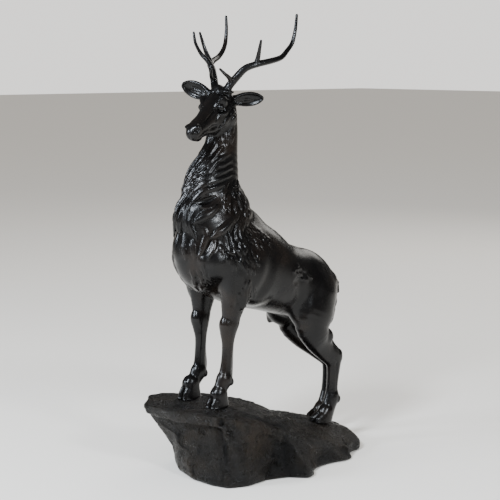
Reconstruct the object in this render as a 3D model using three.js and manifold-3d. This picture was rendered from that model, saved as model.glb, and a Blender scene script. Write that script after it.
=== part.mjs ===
// A cast stag standing on a rock, in millimetres, +Z up.
// The stag looks along -X, its left side is at -Y, and the origin is on the flat underside of the rock.

import * as THREE from 'three';
import { LoftGeometry } from 'three/addons/geometries/LoftGeometry.js';
import { ConvexGeometry } from 'three/addons/geometries/ConvexGeometry.js';
import { mergeVertices } from 'three/addons/utils/BufferGeometryUtils.js';
import Module from 'manifold-3d';

// Driving dimensions
const stagHeight = 410;        // from the ledge under the fore hooves to the antler tips
const ledgeHeight = 70;        // rock at the fore hooves
const rockLength = 250;        // along the stag
const rockBreadth = 160;       // across the stag
const slabThickness = 12;      // overhanging slab at the front of the rock
const beamDiameter = 9;        // antler beam just above its base
const tineDiameter = 6;        // tine where it leaves the beam
const tipDiameter = 3;         // rounded antler tips
const earLength = 35;
const earThickness = 2.4;
const lockRise = 3.2;          // how far a lock of the mane stands out from the neck
const lockBreadth = 9;
const hoofBreadth = 17;
const tailLength = 34;

// The figure's pose and proportions are written for a stag 410 mm tall whose fore hooves stand at z 70.
const poseHeight = 410;
const poseLedge = 70;
const share = stagHeight / poseHeight;

// The rock's corners are written for a rock 250 by 160 mm with a 70 mm ledge.
const rockPlan = { length: 250, breadth: 160, ledge: 70 };

const wasm = await Module();
wasm.setup();

function pose(x, y, z) {
  return new THREE.Vector3(x * share, y * share, ledgeHeight + (z - poseLedge) * share);
}

// Solids

function solid(geometry) {
  const bare = new THREE.BufferGeometry();
  bare.setAttribute('position', geometry.attributes.position);
  bare.setIndex(geometry.index);
  const merged = mergeVertices(bare, 1e-4);
  const vertProperties = new Float32Array(merged.attributes.position.array);
  const triVerts = new Uint32Array(merged.index.array);
  return new wasm.Manifold(new wasm.Mesh({ numProp: 3, vertProperties, triVerts }));
}

// A ring has a centre and two half axes, with across x deep pointing along the loft.
function ringPoints(ring, sides, grow = 1) {
  const points = [];
  for (let i = 0; i < sides; i++) {
    const angle = (i + 0.5) / sides * Math.PI * 2;
    points.push(ring.centre.clone()
      .addScaledVector(ring.across, Math.cos(angle) * grow)
      .addScaledVector(ring.deep, Math.sin(angle) * grow));
  }
  return points;
}

// Lofts through rings and closes both ends with a low dome.
function loftRings(rings, sides, dome = 0.5) {
  const sections = rings.map((ring) => ringPoints(ring, sides));
  const first = rings[0];
  const last = rings[rings.length - 1];
  const domeOf = (ring, towards) => {
    const radius = Math.min(ring.across.length(), ring.deep.length());
    const axis = new THREE.Vector3().crossVectors(ring.across, ring.deep).normalize();
    return { ...ring, centre: ring.centre.clone().addScaledVector(axis, towards * dome * radius) };
  };
  if (dome > 0) {
    sections.unshift(ringPoints(domeOf(first, -1), sides, 0.55));
    sections.push(ringPoints(domeOf(last, 1), sides, 0.55));
  }
  return solid(new LoftGeometry(sections, { capStart: true, capEnd: true }));
}

// A limb's stations are [x, y, z, half breadth, half depth] in the pose's own millimetres.
function limb(stations, sides = 10, dome = 0.5, sideways = new THREE.Vector3(0, 1, 0)) {
  const centres = stations.map(([x, y, z]) => pose(x, y, z));
  const rings = stations.map(([, , , breadth, depth], i) => {
    const before = centres[Math.max(i - 1, 0)];
    const after = centres[Math.min(i + 1, centres.length - 1)];
    const along = after.clone().sub(before).normalize();
    const across = sideways.clone().addScaledVector(along, -sideways.dot(along)).normalize();
    const deep = new THREE.Vector3().crossVectors(along, across);
    return {
      centre: centres[i],
      across: across.multiplyScalar(breadth * share),
      deep: deep.multiplyScalar(depth * share),
    };
  });
  return loftRings(rings, sides, dome);
}

// A muscle is an ellipsoid, tipped forward about the sideways axis by tilt degrees.
function muscle(x, y, z, long, broad, tall, tilt = 0) {
  const ball = new THREE.SphereGeometry(1, 10, 7);
  ball.scale(long * share, broad * share, tall * share);
  ball.rotateY(THREE.MathUtils.degToRad(tilt));
  const at = pose(x, y, z);
  ball.translate(at.x, at.y, at.z);
  return solid(ball);
}

const bothSides = (make) => [-1, 1].map(make);

// Body

function trunk() {
  return limb([
    [-84, 0, 236, 20, 26],
    [-64, 0, 229, 34, 41],
    [-36, 0, 222, 38, 47],
    [-8, 0, 212, 39, 47],
    [20, 0, 198, 37, 40.5],
    [46, 0, 189, 33, 39],
    [68, 0, 182, 31, 39],
    [88, 0, 170, 29, 33],
    [101, 0, 159, 24, 25],
  ], 14, 0.6);
}

function shoulders() {
  return bothSides((side) => [
    muscle(-71, side * 20, 224, 20, 20, 22),
    muscle(-50, side * 27, 216, 22, 15, 38, -12),
    muscle(-24, side * 22, 206, 30, 18, 34, -20),
    muscle(-12, side * 4, 250, 19, 14, 24, -10),
  ]).flat();
}

function haunches() {
  return bothSides((side) => [
    muscle(71, side * 18, 170, 34, 17, 32, 25),
    muscle(60, side * 20, 158, 28, 14, 24, 35),
  ]).flat();
}

function tail() {
  const drop = tailLength / share;
  return limb([
    [106, 0, 182, 7, 6],
    [117, 0, 177, 7, 5],
    [121, 0, 177 - drop * 0.35, 6, 4],
    [121, 0, 177 - drop * 0.65, 4, 3],
  ], 8, 1);
}

// Neck stations run from the head to the breast: [x, z, half breadth, half depth].
const neckStations = [
  [-43, 376, 12, 15],
  [-44, 356, 14, 17.5],
  [-46.5, 337, 16.5, 20.5],
  [-54.5, 312, 20.5, 30],
  [-60, 293, 24.5, 35.5],
  [-57, 268, 32, 48],
  [-61, 248, 35, 41],
  [-66, 228, 32, 30],
];

function neck() {
  return limb(neckStations.map(([x, z, breadth, depth]) => [x, 0, z, breadth, depth]), 12, 0.6);
}

// A point on the neck: drop runs 0 to 1 from head to breast, turn is in degrees from the throat towards
// the nape, positive on the stag's left. rise stands out from the neck's surface.
function onNeck(drop, turn, rise) {
  const spot = Math.min(Math.max(drop, 0), 1) * (neckStations.length - 1);
  const i = Math.min(Math.floor(spot), neckStations.length - 2);
  const t = spot - i;
  const [x, z, breadth, depth] = neckStations[i].map((value, j) => {
    return THREE.MathUtils.lerp(value, neckStations[i + 1][j], t);
  });
  const angle = THREE.MathUtils.degToRad(turn);
  const centre = pose(x, 0, z);
  return centre.add(new THREE.Vector3(
    -Math.cos(angle) * (depth * share + rise),
    -Math.sin(angle) * (breadth * share + rise),
    0,
  ));
}

// A lock is a ridge that swells and tapers along its path, sunk into the surface it lies on.
function lock(path, outwards, breadth, rise) {
  const sections = path.map((point, i) => {
    const t = i / (path.length - 1);
    const swell = 0.12 + 0.88 * Math.sin(Math.PI * Math.pow(t, 0.75) * 0.97 + 0.05);
    const along = path[Math.min(i + 1, path.length - 1)].clone().sub(path[Math.max(i - 1, 0)]).normalize();
    const out = outwards[i].clone().addScaledVector(along, -outwards[i].dot(along)).normalize();
    const side = new THREE.Vector3().crossVectors(out, along);
    const half = breadth / 2 * swell;
    return [
      point.clone().addScaledVector(side, half).addScaledVector(out, -rise),
      point.clone().addScaledVector(out, rise * (0.4 + 0.6 * swell)),
      point.clone().addScaledVector(side, -half).addScaledVector(out, -rise),
    ];
  });
  return solid(new LoftGeometry(sections, { capStart: true, capEnd: true }));
}

function maneLock(drop, turn, fall, sweep, breadth, rise) {
  const path = [];
  const outwards = [];
  const steps = 4;
  for (let i = 0; i <= steps; i++) {
    const t = i / steps;
    const bend = Math.sin(Math.PI * t) * 0.18 * sweep;
    const at = onNeck(drop + fall * t, turn - sweep * t + bend, 0.2);
    path.push(at);
    outwards.push(onNeck(drop + fall * t, turn - sweep * t + bend, 10).sub(at));
  }
  return lock(path, outwards, breadth, rise);
}

// Rows of locks fall from the cheek to the breast, sweeping from the nape towards the throat.
function mane() {
  const locks = [];
  const rows = 6;
  for (let row = 0; row < rows; row++) {
    const drop = 0.2 + row * 0.115;
    const size = 0.8 + row * 0.1;
    const turns = [140, 104, 70, 36];
    for (const side of [-1, 1]) {
      for (const turn of turns) {
        const offset = row % 2 === 0 ? 0 : 16;
        const fall = 0.21 + 0.03 * ((row + turn) % 3);
        locks.push(maneLock(drop, side * (turn - offset), fall, side * 30, lockBreadth * size, lockRise * size));
      }
    }
  }
  return locks;
}

// Legs

// The right fore fetlock stands a little further back than the left one.
const rightFetlockBack = 3;

function foreLeg(side) {
  const straighter = side > 0 ? rightFetlockBack : 0;
  const stations = [
    [-50, 27, 208, 14, 21, 0],
    [-50, 27, 190, 12, 18, 0],
    [-52, 26, 175, 9.5, 14, 0],
    [-54, 25, 163, 8, 11.5, 0],
    [-56, 24.5, 155, 8.5, 11, 0],
    [-57, 24, 147, 7.5, 9.5, 0.2],
    [-57.5, 24, 135, 5.5, 7, 0.5],
    [-59, 24, 118, 5.2, 6.6, 0.7],
    [-61, 24, 105, 5.8, 7.4, 1],
    [-62.5, 24, 98, 7.5, 9.6, 1],
    [-67, 24, 90, 6.4, 8, 0.8],
    [-70.5, 24, 83, 7, 8.5, 0.3],
    [-71, 24, 77, 7.4, 9, 0.1],
  ];
  return limb(stations.map(([x, y, z, b, d, shift]) => [x + shift * straighter, side * y, z, b, d]), 9, 0.3);
}

// The right hind leg is hidden by the left one in the usual view: it is stretched further back.
const rightFoot = { back: 27, inward: 6, lower: 8 };

function hindLeg(side) {
  const back = side > 0 ? rightFoot.back : 0;
  const inward = side > 0 ? rightFoot.inward : 0;
  const lower = side > 0 ? rightFoot.lower : 0;
  const stations = [
    [78, 20, 174, 17, 30, 0.1],
    [66, 24, 156, 15, 28, 0.4],
    [62, 25, 142, 13, 23, 0.6],
    [67, 25, 128.7, 11.5, 18, 0.75],
    [75, 23, 118.4, 9.5, 15, 0.85],
    [85, 22, 108, 8, 12.5, 0.92],
    [97, 21, 98.5, 7.5, 12.5, 0.96],
    [98, 21, 88.3, 6.5, 9, 1],
    [97, 21, 72.3, 5.5, 7.6, 1],
    [96, 21, 61, 5.5, 7.8, 1],
    [96, 21, 52.7, 7, 9.6, 1],
    [92, 21, 44, 6.6, 9, 1],
    [88.5, 21, 37, 7.5, 9.5, 1],
    [86.5, 21, 30, 7.8, 10.5, 1],
  ];
  return limb(stations.map(([x, y, z, b, d, reach]) => {
    return [x + back * reach, side * (y - inward * reach), z - lower * reach, b, d];
  }), 9, 0.3);
}

// Where each sole meets the rock
const foreHooves = [[-70, -24, 68], [-70, 24, 71]];
const hindHooves = [
  [82, -21, 22],
  [82 + rightFoot.back, 21 - rightFoot.inward, 22 - rightFoot.lower],
];

// A hoof is cloven: two half hooves side by side, each a hull from the coronet to the sole.
function hoof([x, y, z], lean, forward) {
  const half = hoofBreadth / 2;
  const toes = bothSides((side) => {
    const corners = [
      [-6, 0.4, 15], [-5, 0.6 * half, 15], [4, 0.8 * half, 16], [9, 0.4, 15], [9, 0.6 * half, 14],
      [-forward, 0.8, 1.5], [-forward + 2, 0.55 * half, 1], [-forward + 8, 0.95 * half, 0],
      [12, 0.5, 1], [12, 0.8 * half, 0], [3, half, 0],
      [-forward, 0.8, -5], [-forward + 2, 0.55 * half, -5], [-forward + 8, 0.95 * half, -6],
      [3, half, -6], [12, 0.8 * half, -6], [12, 0.5, -6],
    ];
    return solid(new ConvexGeometry(corners.map(([dx, dy, dz]) => {
      return pose(x + dx + lean * (dz > 10 ? 1 : 0), y + side * dy / share, z + dz);
    })));
  });
  const bridge = muscle(x + 3 + lean, y, z + 9, 7, 5, 7);
  return [...toes, bridge];
}

// Head

const poll = pose(-48, 0, 397);
const headTurn = THREE.MathUtils.degToRad(22);     // towards the stag's left
const headDrop = THREE.MathUtils.degToRad(26);
const level = new THREE.Vector3(-Math.cos(headTurn), -Math.sin(headTurn), 0);
const up = new THREE.Vector3(0, 0, 1);
const muzzleward = level.clone().multiplyScalar(Math.cos(headDrop)).addScaledVector(up, -Math.sin(headDrop));
const browward = level.clone().multiplyScalar(Math.sin(headDrop)).addScaledVector(up, Math.cos(headDrop));
const leftward = new THREE.Vector3().crossVectors(up, level);

// A point on the head: along the face, out from it, and to the stag's left, in the pose's millimetres.
function onHead(along, out, left) {
  return poll.clone()
    .addScaledVector(muzzleward, along * share)
    .addScaledVector(browward, out * share)
    .addScaledVector(leftward, left * share);
}

function skull() {
  // [along, top, bottom, half breadth]
  const profile = [
    [-6, -2, -17, 10],
    [0, 2, -26, 14],
    [8, 4, -33, 16],
    [17, 4.5, -36, 16.5],
    [25, 3.5, -35, 15],
    [33, 2, -31, 12.5],
    [41, 0.5, -27, 10],
    [50, -0.5, -24, 8.8],
    [58, -1, -22, 8.6],
    [65, -2, -21.5, 8.8],
    [69.5, -5.5, -17.5, 7],
  ];
  const rings = profile.map(([along, top, bottom, breadth]) => ({
    centre: onHead(along, (top + bottom) / 2, 0),
    across: leftward.clone().multiplyScalar(breadth * share),
    deep: browward.clone().multiplyScalar((top - bottom) / 2 * share),
  }));
  return loftRings(rings, 12, 0.4);
}

function headBall(along, out, left, size) {
  const ball = new THREE.SphereGeometry(size * share, 7, 5);
  const at = onHead(along, out, left);
  ball.translate(at.x, at.y, at.z);
  return solid(ball);
}

function face() {
  const pieces = bothSides((side) => [
    headBall(17, -2, side * 11.5, 5.5),
    headBall(21, -8, side * 13, 3.6),
    headBall(65, -7, side * 5, 4.2),
    headBall(12, -24, side * 10, 8),
  ]).flat();
  pieces.push(headBall(60, -18.5, 0, 5.5));
  pieces.push(headBall(2, 3, 0, 8));
  return pieces;
}

function nostrils() {
  return bothSides((side) => headBall(69.5, -7, side * 6.6, 1.7));
}

// An ear is a cupped leaf: crescent sections along its length, open towards the front.
function ear(base, direction, opening) {
  const length = earLength;
  const along = direction.clone().normalize();
  const open = opening.clone().addScaledVector(along, -opening.dot(along)).normalize();
  const side = new THREE.Vector3().crossVectors(open, along);
  const leaf = [[0, 5], [0.2, 6.6], [0.45, 8], [0.7, 6.6], [0.88, 3.8], [1, 1.2]];
  const sections = leaf.map(([t, half]) => {
    const centre = base.clone().addScaledVector(along, t * length);
    const points = [];
    const count = 5;
    const reach = half * share;
    const wall = earThickness * (1 - 0.45 * t);
    const place = (angle, radius) => centre.clone()
      .addScaledVector(side, Math.cos(angle) * radius)
      .addScaledVector(open, -Math.sin(angle) * radius * 0.75);
    for (let i = 0; i <= count; i++) {
      points.push(place(Math.PI * i / count, reach + wall / 2));
    }
    for (let i = count - 1; i >= 1; i--) {
      points.push(place(Math.PI * i / count, Math.max(reach - wall / 2, reach * 0.25)));
    }
    return points.reverse();
  });
  return solid(new LoftGeometry(sections, { capStart: true, capEnd: true }));
}

function ears() {
  const backwards = level.clone().multiplyScalar(-1);
  const from = (ahead, left, rise) => poll.clone()
    .addScaledVector(level, ahead * share)
    .addScaledVector(leftward, left * share)
    .addScaledVector(up, rise * share);
  const leftEar = ear(
    from(-8, 9, -9),
    leftward.clone().multiplyScalar(29).addScaledVector(backwards, 15).addScaledVector(up, 3),
    level.clone().addScaledVector(up, -0.25),
  );
  const rightEar = ear(
    from(-1, -13, -4),
    leftward.clone().multiplyScalar(-30).addScaledVector(level, 6).addScaledVector(up, 14),
    level.clone().addScaledVector(up, -0.1),
  );
  return [leftEar, rightEar, headBall(6, -9, 11, 5), headBall(4, -4, -12, 5)];
}

// Antlers: points are [back, out to the side, up] from the base of each antler.

const antlerTurn = THREE.MathUtils.degToRad(16);
const antlerBase = { x: -46, z: 399, side: 8 };
const rightSpread = 1.1;       // the right antler leans out a little more

const beamPath = [
  [0, 0, -6], [0, 0, 2], [8, 6.8, 14.5], [14, 12.6, 22.5], [22, 19.6, 26.5], [40, 28, 30.5],
  [54, 31.4, 34], [63, 32, 40], [71, 33.6, 48], [74.5, 34.5, 57], [76.5, 35.2, 67], [77, 36, 79],
];
const browTine = [[3, 3, 8], [-1, 3, 13], [-6, 1, 17], [-10, -2.5, 22]];
const leftMidTine = [[24, 20, 27], [23, 23, 35], [21, 26, 43], [19, 29, 51]];
const rightMidTine = [[27, 22, 28], [25, 26, 38], [23, 29, 49], [22, 32, 60]];
const frontTine = [[14, 11, 20], [12, 16, 30], [10, 23, 38], [8, 28, 49], [8, 30, 60]];

function antlerTube(path, side, startDiameter, endDiameter) {
  const ahead = [-Math.cos(antlerTurn), -Math.sin(antlerTurn)];
  const stations = path.map(([back, out, rise], i) => {
    const t = i / (path.length - 1);
    const radius = THREE.MathUtils.lerp(startDiameter, endDiameter, Math.pow(t, 1.1)) / 2 / share;
    const left = -side * (antlerBase.side + out * (side > 0 ? rightSpread : 1));
    return [
      antlerBase.x - ahead[0] * back - ahead[1] * left,
      -ahead[1] * back + ahead[0] * left,
      antlerBase.z + rise,
      radius,
      radius,
    ];
  });
  return limb(stations, 6, 1.1, new THREE.Vector3(1, 0.3, 0));
}

function antlers() {
  const pieces = bothSides((side) => [
    antlerTube(beamPath, side, beamDiameter, tipDiameter),
    antlerTube(browTine, side, tineDiameter, tipDiameter),
    antlerTube([[0, 0, -7], [0, 0, 0], [1, 1, 3]], side, beamDiameter * 1.35, beamDiameter * 1.35),
  ]).flat();
  pieces.push(antlerTube(leftMidTine, -1, tineDiameter, tipDiameter));
  pieces.push(antlerTube(rightMidTine, 1, tineDiameter, tipDiameter));
  pieces.push(antlerTube(frontTine, 1, tineDiameter, tipDiameter));
  return pieces;
}

// Rock

const rearDrop = 50;     // how far the rock falls from the fore hooves to the hind hooves, in the pose

function rockPoint(x, y, z) {
  const fall = (poseLedge - z) * share;
  const stretched = z * ledgeHeight / rockPlan.ledge;
  const top = ledgeHeight - fall;
  const weight = THREE.MathUtils.clamp(z / (rockPlan.ledge - rearDrop), 0, 1);
  const level = THREE.MathUtils.lerp(stretched, top, weight);
  return new THREE.Vector3(x * rockLength / rockPlan.length, y * rockBreadth / rockPlan.breadth, level);
}

function boulder(corners) {
  return solid(new ConvexGeometry(corners.map(([x, y, z]) => rockPoint(x, y, z))));
}

function slab() {
  const edge = [[-119, 2], [-110, -28], [-99, -57], [-80, -60], [-60, -52], [-52, 30], [-70, 60], [-80, 67],
    [-97, 66], [-124, 37]];
  const under = slabThickness / share;
  return boulder([
    ...edge.map(([x, y]) => [x, y, poseLedge]),
    ...edge.map(([x, y]) => [x * 0.97 - 1, y * 0.95, poseLedge - under]),
  ]);
}

function rock() {
  const pieces = [
    slab(),
    boulder([
      [-108, 4, 62], [-96, -46, 62], [-76, -50, 62], [-60, 44, 62], [-92, 58, 62], [-118, 36, 60],
      [-112, 30, 48], [-104, 4, 44], [-88, -34, 42], [-60, -30, 42], [-60, 36, 42], [-98, 48, 40],
      [-102, 26, 38], [-96, 20, 20], [-88, 40, 22], [-90, -8, 20], [-70, 0, 20],
    ]),
    boulder([
      [-98, 2, 60], [-92, -44, 60], [-76, -54, 60], [-56, -45, 60], [-50, 40, 60], [-88, 50, 62], [-100, 30, 62],
      [-102, 4, 0], [-111, -32, 0], [-109, -58, 0], [-102, -78, 0], [-82, -84, 0], [-50, -70, 0], [-50, 42, 0],
      [-76, 38, 0], [-92, 22, 0],
    ]),
    boulder([
      [-92, -58, 69], [-78, -78, 66], [-50, -76, 57], [-20, -74, 46], [4, -60, 35], [-40, -30, 60], [-70, -30, 68],
      [-96, -78, 0], [-81, -85, 0], [-60, -83, 0], [-20, -40, 0], [-60, -20, 0], [-92, -72, 30], [-62, -80, 8],
    ]),
    boulder([
      [-78, 40, 70], [-60, -30, 68], [-20, -60, 52], [20, -40, 42], [26, 30, 49], [0, 34, 57], [-40, 44, 67],
      [-80, 42, 0], [-64, -80, 0], [-29, -90, 0], [20, -80, 0], [60, -60, 0], [60, 44, 0], [0, 50, 0],
    ]),
    boulder([
      [-20, -70, 44], [6, -58, 37], [28, -42, 30], [50, -50, 24], [70, -66, 14], [40, 0, 34], [0, -30, 44],
      [-29, -90, 0], [-15, -105, 0], [3, -99, 0], [69, -84, 0], [60, -30, 0], [0, -40, 0], [-16, -100, 14],
    ]),
    boulder([
      [20, -46, 33], [60, -52, 24], [104, -42, 20], [118, -8, 16], [132, 10, 12], [130, 26, 10], [60, 38, 34],
      [20, 30, 42], [66, -6, 32], [69, -84, 0], [100, -64, 0], [118, -44, 4], [132, -6, 0], [128, 32, 0],
      [60, 46, 0],
      [20, 46, 0], [10, -60, 0], [72, -78, 12], [104, -60, 10],
    ]),
  ];
  const scoops = [
    [-114, -44, 36, 14, 26, 19],
    [-86, -92, 42, 24, 16, 16],
    [6, -100, 30, 24, 22, 17],
  ].map(([x, y, z, long, broad, tall]) => {
    const ball = new THREE.SphereGeometry(1, 9, 6);
    ball.scale(long, broad, tall);
    const at = rockPoint(x, y, z);
    ball.translate(at.x, at.y, at.z);
    return solid(ball);
  });
  return join(pieces).subtract(join(scoops));
}

// Rock rises to meet each hoof.
function footing([x, y, z]) {
  const under = pose(x, y, z);
  const corners = [];
  for (let i = 0; i < 7; i++) {
    const angle = i / 7 * Math.PI * 2;
    const rim = new THREE.Vector3(Math.cos(angle) * 1.25, Math.sin(angle), 0);
    corners.push(under.clone().addScaledVector(rim, 13 * share).add(new THREE.Vector3(0, 0, -1.5 * share)));
    const foot = under.clone().addScaledVector(rim, 22 * share);
    foot.z = Math.max(under.z - 20 * share, 0);
    corners.push(foot);
  }
  return solid(new ConvexGeometry(corners));
}

function join(pieces) {
  return pieces.reduce((whole, piece) => whole.add(piece));
}

// Fills the sealed voids left where locks of hair cross.
function filled(whole) {
  return join(whole.decompose().filter((shell) => shell.volume() > 0));
}

function stagOnRock() {
  const stag = join([
    trunk(), ...shoulders(), ...haunches(), tail(), neck(), ...mane(),
    foreLeg(-1), foreLeg(1), hindLeg(-1), hindLeg(1),
    ...foreHooves.map((at) => hoof(at, -1, 11)).flat(),
    ...hindHooves.map((at) => hoof(at, 4, 16)).flat(),
    skull(), ...face(), ...ears(), ...antlers(),
  ]).subtract(join(nostrils()));
  const footings = [...foreHooves, ...hindHooves].map(footing);
  return filled(join([stag, rock(), ...footings]));
}

function mesh(name, whole, material) {
  const { vertProperties, triVerts, numProp } = whole.getMesh();
  const positions = new Float32Array(vertProperties.length / numProp * 3);
  for (let i = 0; i < positions.length / 3; i++) {
    positions.set(vertProperties.subarray(i * numProp, i * numProp + 3), i * 3);
  }
  const geometry = new THREE.BufferGeometry();
  geometry.setAttribute('position', new THREE.BufferAttribute(positions, 3));
  geometry.setIndex(new THREE.BufferAttribute(new Uint32Array(triVerts), 1));
  geometry.computeVertexNormals();
  const result = new THREE.Mesh(geometry, material);
  result.name = name;
  return result;
}

const bronze = new THREE.MeshStandardMaterial({ color: 0x1b1714, roughness: 0.35, metalness: 0.8 });
const statue = new THREE.Group();
statue.add(mesh('stag_on_rock', stagOnRock(), bronze));

export default statue;
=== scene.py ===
import math

import bmesh
import bpy
import numpy as np
from mathutils import Matrix, Vector


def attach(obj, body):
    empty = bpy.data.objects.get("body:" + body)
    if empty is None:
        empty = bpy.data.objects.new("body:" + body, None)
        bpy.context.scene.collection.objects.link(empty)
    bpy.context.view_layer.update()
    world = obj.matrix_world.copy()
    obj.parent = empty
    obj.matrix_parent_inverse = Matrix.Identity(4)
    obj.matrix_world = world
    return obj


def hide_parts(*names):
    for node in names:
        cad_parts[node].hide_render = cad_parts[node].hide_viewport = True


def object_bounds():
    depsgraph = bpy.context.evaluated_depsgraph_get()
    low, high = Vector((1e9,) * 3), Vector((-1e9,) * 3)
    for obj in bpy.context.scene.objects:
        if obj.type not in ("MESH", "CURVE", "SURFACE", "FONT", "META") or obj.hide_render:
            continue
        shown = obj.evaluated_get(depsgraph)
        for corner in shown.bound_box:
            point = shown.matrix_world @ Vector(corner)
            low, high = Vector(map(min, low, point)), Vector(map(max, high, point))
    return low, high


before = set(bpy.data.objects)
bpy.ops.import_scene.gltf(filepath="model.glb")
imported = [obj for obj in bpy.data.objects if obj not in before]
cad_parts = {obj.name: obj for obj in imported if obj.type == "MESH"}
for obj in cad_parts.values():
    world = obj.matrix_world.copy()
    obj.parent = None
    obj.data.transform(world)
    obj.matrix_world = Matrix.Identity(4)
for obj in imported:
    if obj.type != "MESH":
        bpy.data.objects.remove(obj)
cad_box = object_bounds()

# The statue is worked out in the millimetres of a stag posed 479.7 mm tall, on the part's own axes:
# the stag looks along -X, its left side is at -Y and +Z is up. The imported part's height sets the scale.
POSED_HEIGHT = 479.7
MM = (cad_box[1][2] - cad_box[0][2]) / POSED_HEIGHT
# The grid: its step, its corners, the distance it starts with and how far round a form it is changed
STEP = 0.8
LOW = np.array([-129.0, -109.0, -4.0])
HIGH = np.array([141.0, 73.0, 483.0])
EMPTY = 12.0
SHELL = 3.0
# Triangles of the finished mesh, and the height of its lowest points
TRIANGLES = 190000
FLOOR_GAP = 0.02
UP = np.array([0.0, 0.0, 1.0])
ACROSS = np.array([0.0, 1.0, 0.0])
rng = np.random.default_rng(11)


def unit(v):
    return v / np.maximum(np.linalg.norm(v, axis=-1, keepdims=True), 1e-6)


def smooth_less(a, b, blend):
    """The smaller of a and b, with the crease between them rounded."""
    mix = np.clip(0.5 + 0.5 * (a - b) / blend, 0, 1)
    return a + (b - a) * mix - blend * mix * (1 - mix)


class Field:
    """Distance to the statue's surface on a regular grid, below zero inside the bronze."""

    def __init__(self, low, high):
        self.low = low
        self.count = np.ceil((high - low) / STEP).astype(int) + 1
        self.value = np.full(self.count, EMPTY, dtype=np.float32)
        self.axes = [(low[i] + STEP * np.arange(self.count[i])).astype(np.float32) for i in range(3)]

    def window(self, low, high):
        """The slices of the grid between two corners, and their coordinates."""
        first = np.clip(np.floor((low - self.low) / STEP).astype(int), 0, self.count - 1)
        last = np.clip(np.ceil((high - self.low) / STEP).astype(int) + 1, first + 1, self.count)
        part = tuple(slice(a, b) for a, b in zip(first, last))
        return part, [self.axes[i][part[i]] for i in range(3)]

    def shape(self, part, distance, blend, cut):
        if cut:
            self.value[part] = -smooth_less(-self.value[part], distance, blend)
        else:
            self.value[part] = smooth_less(self.value[part], distance, blend)

    def sample(self, points):
        """Distances at points, between the grid's values."""
        spot = (points - self.low) / STEP
        base = np.clip(np.floor(spot).astype(int), 0, self.count - 2)
        t = np.clip(spot - base, 0, 1)
        total = np.zeros(len(points))
        for corner in np.ndindex(2, 2, 2):
            weight = np.prod(np.where(corner, t, 1 - t), axis=1)
            at = base + corner
            total += weight * self.value[at[:, 0], at[:, 1], at[:, 2]]
        return total

    def slope(self, points):
        """The directions that point straight out of the surface."""
        slopes = [self.sample(points + STEP * e) - self.sample(points - STEP * e) for e in np.eye(3)]
        return unit(np.stack(slopes, axis=1))

    def settle(self, points):
        """Points moved onto the surface, and the outward direction at each."""
        points = np.array(points, dtype=float)
        for _ in range(8):
            points -= self.slope(points) * np.clip(self.sample(points), -3, 3)[:, None]
        return points, self.slope(points)


def offsets(spans, origin, axis):
    """How far each place in a window is from origin along axis."""
    x, y, z = [((spans[i] - origin[i]) * axis[i]).astype(np.float32) for i in range(3)]
    return x[:, None, None] + y[None, :, None] + z[None, None, :]


def ellipsoid_distance(u, v, w, a, b, c):
    """Distance to an ellipsoid of half sizes a, b and c, close to true near its surface."""
    inner = np.sqrt((u / a) ** 2 + (v / b) ** 2 + (w / c) ** 2) + 1e-3
    outer = np.sqrt((u / a ** 2) ** 2 + (v / b ** 2) ** 2 + (w / c ** 2) ** 2) + 1e-4
    return inner * (inner - 1) / outer


def link_distance(spans, start, end, side):
    """Distance to a length of limb between stations of x, y, z, half breadth along side, and half depth."""
    run = end[:3] - start[:3]
    length = max(np.linalg.norm(run), 1e-3)
    axis = run / length
    broad = unit(side - axis * np.dot(side, axis))
    deep = np.cross(axis, broad)
    w = offsets(spans, start, axis)
    t = np.clip(w / length, 0, 1)
    a = start[3] + (end[3] - start[3]) * t
    b = start[4] + (end[4] - start[4]) * t
    u = offsets(spans, start, broad)
    v = offsets(spans, start, deep)
    return ellipsoid_distance(u, v, w - t * length, a, b, np.minimum(a, b))


def add_chain(field, path, sides, blend, cut):
    """Lengths of limb end to end, put together first and then blended into the field as one form."""
    reach = SHELL + blend
    thick = path[:, 3:5].max(axis=1)[:, None] + reach
    low, high = path[:, :3] - thick, path[:, :3] + thick
    part, spans = field.window(low.min(axis=0), high.max(axis=0))
    whole = np.full([len(span) for span in spans], EMPTY, dtype=np.float32)
    for i in range(len(path) - 1):
        near, _ = field.window(np.minimum(low[i], low[i + 1]), np.maximum(high[i], high[i + 1]))
        near = tuple(slice(a.start - b.start, a.stop - b.start) for a, b in zip(near, part))
        close = [span[piece] for span, piece in zip(spans, near)]
        distance = link_distance(close, path[i], path[i + 1], sides[i])
        whole[near] = np.minimum(whole[near], distance)
    field.shape(part, whole, blend, cut)


def smooth_path(stations, steps):
    """Stations on a curve through the given ones, steps to each span."""
    given = np.array(stations, dtype=float)
    ends = np.vstack([2 * given[0] - given[1], given, 2 * given[-1] - given[-2]])
    path = []
    for i in range(1, len(ends) - 2):
        p0, p1, p2, p3 = ends[i - 1:i + 3]
        for t in np.arange(steps) / steps:
            bend = 2 * p0 - 5 * p1 + 4 * p2 - p3
            twist = 3 * p1 - p0 - 3 * p2 + p3
            path.append(0.5 * (2 * p1 + (p2 - p0) * t + bend * t ** 2 + twist * t ** 3))
    path.append(given[-1])
    path = np.array(path)
    if path.shape[1] > 3:
        path[:, 3:] = np.maximum(path[:, 3:], 0.3)
    return path


def add_limb(field, stations, steps=3, blend=2.0, side=ACROSS, cut=False):
    path = smooth_path(stations, steps)
    add_chain(field, path, [side] * len(path), blend, cut)


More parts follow.
